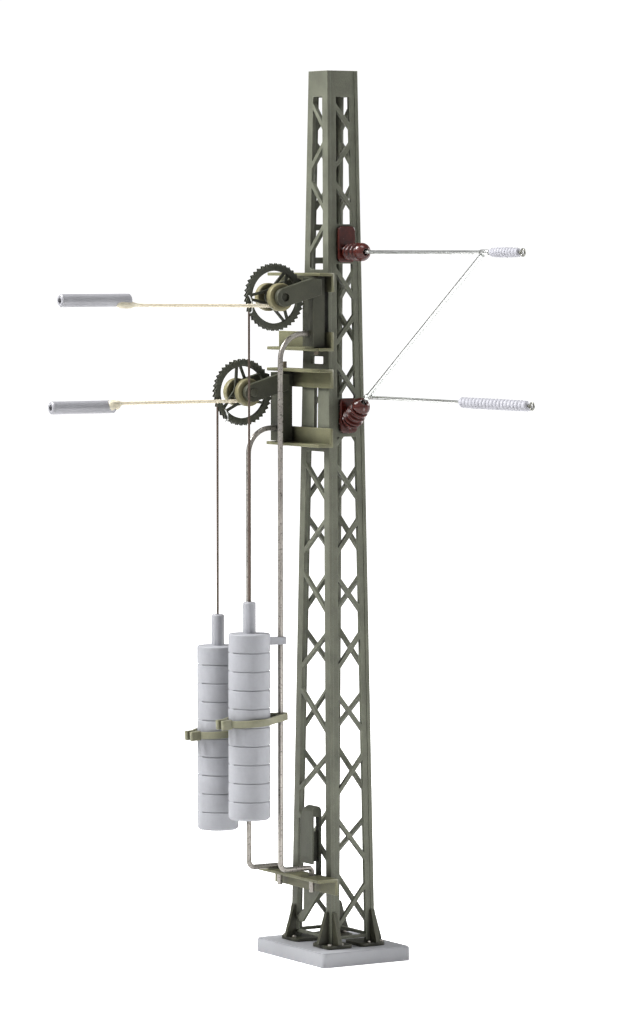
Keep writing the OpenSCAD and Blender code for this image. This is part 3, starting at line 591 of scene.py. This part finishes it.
def coil_piece(k, turns, taper):
    """Thread wound round a tube's end: touching turns, a little uneven, thinner towards both ends."""
    node = k + "_arm_coil"
    a, b = low(node), high(node)
    mid = (a + b) / 2
    outer = (b.z - a.z) / 2
    wire_r = (b.x - a.x) / turns * 0.5
    length, inner = b.x - a.x - 2 * wire_r, outer - wire_r
    line, per_turn = [], 20
    count = int(turns * per_turn)
    for i in range(count + 1):
        t = i / count
        r = inner * (1 - taper * abs(2 * t - 1) ** 3 + 0.015 * math.sin(t * 37))
        w = 2 * math.pi * i / per_turn
        line.append((a.x + wire_r + length * t, mid.y + r * math.cos(w), mid.z + r * math.sin(w)))
    core_r = inner * (1 - taper)
    core = lathe_data([(0, 0), (0, core_r), (length, core_r), (length, 0)], (a.x + wire_r, mid.y, mid.z),
                      (1, 0, 0), 24)
    coil = new_mesh(k + "_coil_turns", *join_data([sweep_data(line, wire_r, 10), core]), coil_paint)
    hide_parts(node)
    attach(coil, "mast")


coil_piece("upper", 10, 0.35)
coil_piece("lower", 19, 0.12)


# ---------------------------------------------------------------- camera, light and floor

CAMERA_DISTANCE = 599.4
target = Vector((0, 0, 59.52)) * MM
azimuth, elevation = math.radians(58.63), math.radians(3.40)
back = Vector((math.sin(azimuth) * math.cos(elevation), -math.cos(azimuth) * math.cos(elevation),
               math.sin(elevation)))
camera_data = bpy.data.cameras.new("camera")
camera = bpy.data.objects.new("camera", camera_data)
bpy.context.scene.collection.objects.link(camera)
camera.location = target + back * CAMERA_DISTANCE * MM
camera.rotation_mode = "QUATERNION"
camera.rotation_quaternion = (-back).to_track_quat("-Z", "Y")
camera_data.sensor_width = 36
camera_data.lens = 158.2
camera_data.shift_x = -0.0214
camera_data.clip_start = 0.01
camera_data.clip_end = 50
bpy.context.scene.camera = camera

world = bpy.data.worlds.new("studio")
bpy.context.scene.world = world
world.use_nodes = True
sky = world.node_tree
sky.nodes.clear()
sky_out = sky.nodes.new("ShaderNodeOutputWorld")
dim = sky.nodes.new("ShaderNodeBackground")
dim.inputs["Color"].default_value = (1, 1, 1, 1)
dim.inputs["Strength"].default_value = 0.12
white = sky.nodes.new("ShaderNodeBackground")
white.inputs["Color"].default_value = (1, 1, 1, 1)
white.inputs["Strength"].default_value = 1.05
ray = sky.nodes.new("ShaderNodeLightPath")
gloss_sky = sky.nodes.new("ShaderNodeBackground")
gloss_sky.inputs["Color"].default_value = (1, 1, 1, 1)
way = sky.nodes.new("ShaderNodeTexCoord")
facing = sky.nodes.new("ShaderNodeVectorMath")
facing.operation = "DOT_PRODUCT"
facing.inputs[1].default_value = back
sky.links.new(way.outputs["Generated"], facing.inputs[0])
bright = sky.nodes.new("ShaderNodeMapRange")
bright.inputs["From Min"].default_value = -0.3
bright.inputs["From Max"].default_value = 0.6
bright.inputs["To Min"].default_value = 0.22
bright.inputs["To Max"].default_value = 0.8
sky.links.new(facing.outputs["Value"], bright.inputs["Value"])
sky.links.new(bright.outputs["Result"], gloss_sky.inputs["Strength"])
indoors = sky.nodes.new("ShaderNodeMixShader")
sky.links.new(ray.outputs["Is Glossy Ray"], indoors.inputs["Fac"])
sky.links.new(dim.outputs[0], indoors.inputs[1])
sky.links.new(gloss_sky.outputs[0], indoors.inputs[2])
blend_sky = sky.nodes.new("ShaderNodeMixShader")
sky.links.new(ray.outputs["Is Camera Ray"], blend_sky.inputs["Fac"])
sky.links.new(indoors.outputs[0], blend_sky.inputs[1])
sky.links.new(white.outputs[0], blend_sky.inputs[2])
sky.links.new(blend_sky.outputs[0], sky_out.inputs["Surface"])


def soft_light(name, place, size, power):
    """A round soft lamp that looks at the middle of the mast."""
    data = bpy.data.lights.new(name, "AREA")
    data.shape = "DISK"
    data.size = size
    data.energy = power
    light = bpy.data.objects.new(name, data)
    bpy.context.scene.collection.objects.link(light)
    light.location = place
    light.rotation_mode = "QUATERNION"
    light.rotation_quaternion = (Vector(place) - Vector((0, 0, 0.06))).to_track_quat("Z", "Y")
    return light


def around(angle, height, distance):
    """A place round the mast: degrees from the wheel side, degrees up, metres away."""
    a, e = math.radians(angle), math.radians(height)
    return (math.sin(a) * math.cos(e) * distance, -math.cos(a) * math.cos(e) * distance,
            math.sin(e) * distance + 0.06)


soft_light("key", around(-25, 46, 0.5), 0.24, 4.2)
soft_light("top", around(60, 80, 0.9), 0.4, 2.4)
soft_light("rim", around(172, 18, 1.0), 0.45, 7.5)
base_fill = soft_light("base_fill", (0.1, 0.03, 0.012), 0.05, 0.025)
base_fill.rotation_quaternion = Vector((1, 0.3, 0.08)).to_track_quat("Z", "Y")
base_fill.visible_camera = False

floor_mesh = bpy.data.meshes.new("floor")
floor_mesh.from_pydata([(-8, -8, 0), (8, -8, 0), (8, 8, 0), (-8, 8, 0)], [], [(0, 1, 2, 3)])
floor = bpy.data.objects.new("floor", floor_mesh)
bpy.context.scene.collection.objects.link(floor)
floor.location.z = -0.00002
f = Nodes("floor_white")
paper = f.noise(40, 3.0)
paper_tone = f.ramp(paper, "Fac", [(0.3, (0.90, 0.90, 0.90)), (0.7, (0.93, 0.93, 0.93))])
f.link(paper_tone, "Color", f.bsdf, "Base Color")
f.bsdf.inputs["Roughness"].default_value = 0.9
f.bsdf.inputs["Specular IOR Level"].default_value = 0.1
glow = f.add("ShaderNodeEmission")
glow.inputs["Strength"].default_value = 1.0
through = f.add("ShaderNodeLightPath")
both_ways = f.add("ShaderNodeAddShader")
f.link(f.bsdf, "BSDF", both_ways, 0)
f.link(glow, "Emission", both_ways, 1)
choose = f.add("ShaderNodeMixShader")
f.link(through, "Is Camera Ray", choose, 0)
f.link(f.bsdf, "BSDF", choose, 1)
f.link(both_ways, "Shader", choose, 2)
f.link(choose, "Shader", f.out, "Surface")
floor.data.materials.append(f.mat)

scene = bpy.context.scene
scene.view_settings.view_transform = "Standard"
scene.view_settings.look = "None"
scene.view_settings.exposure = 0.0
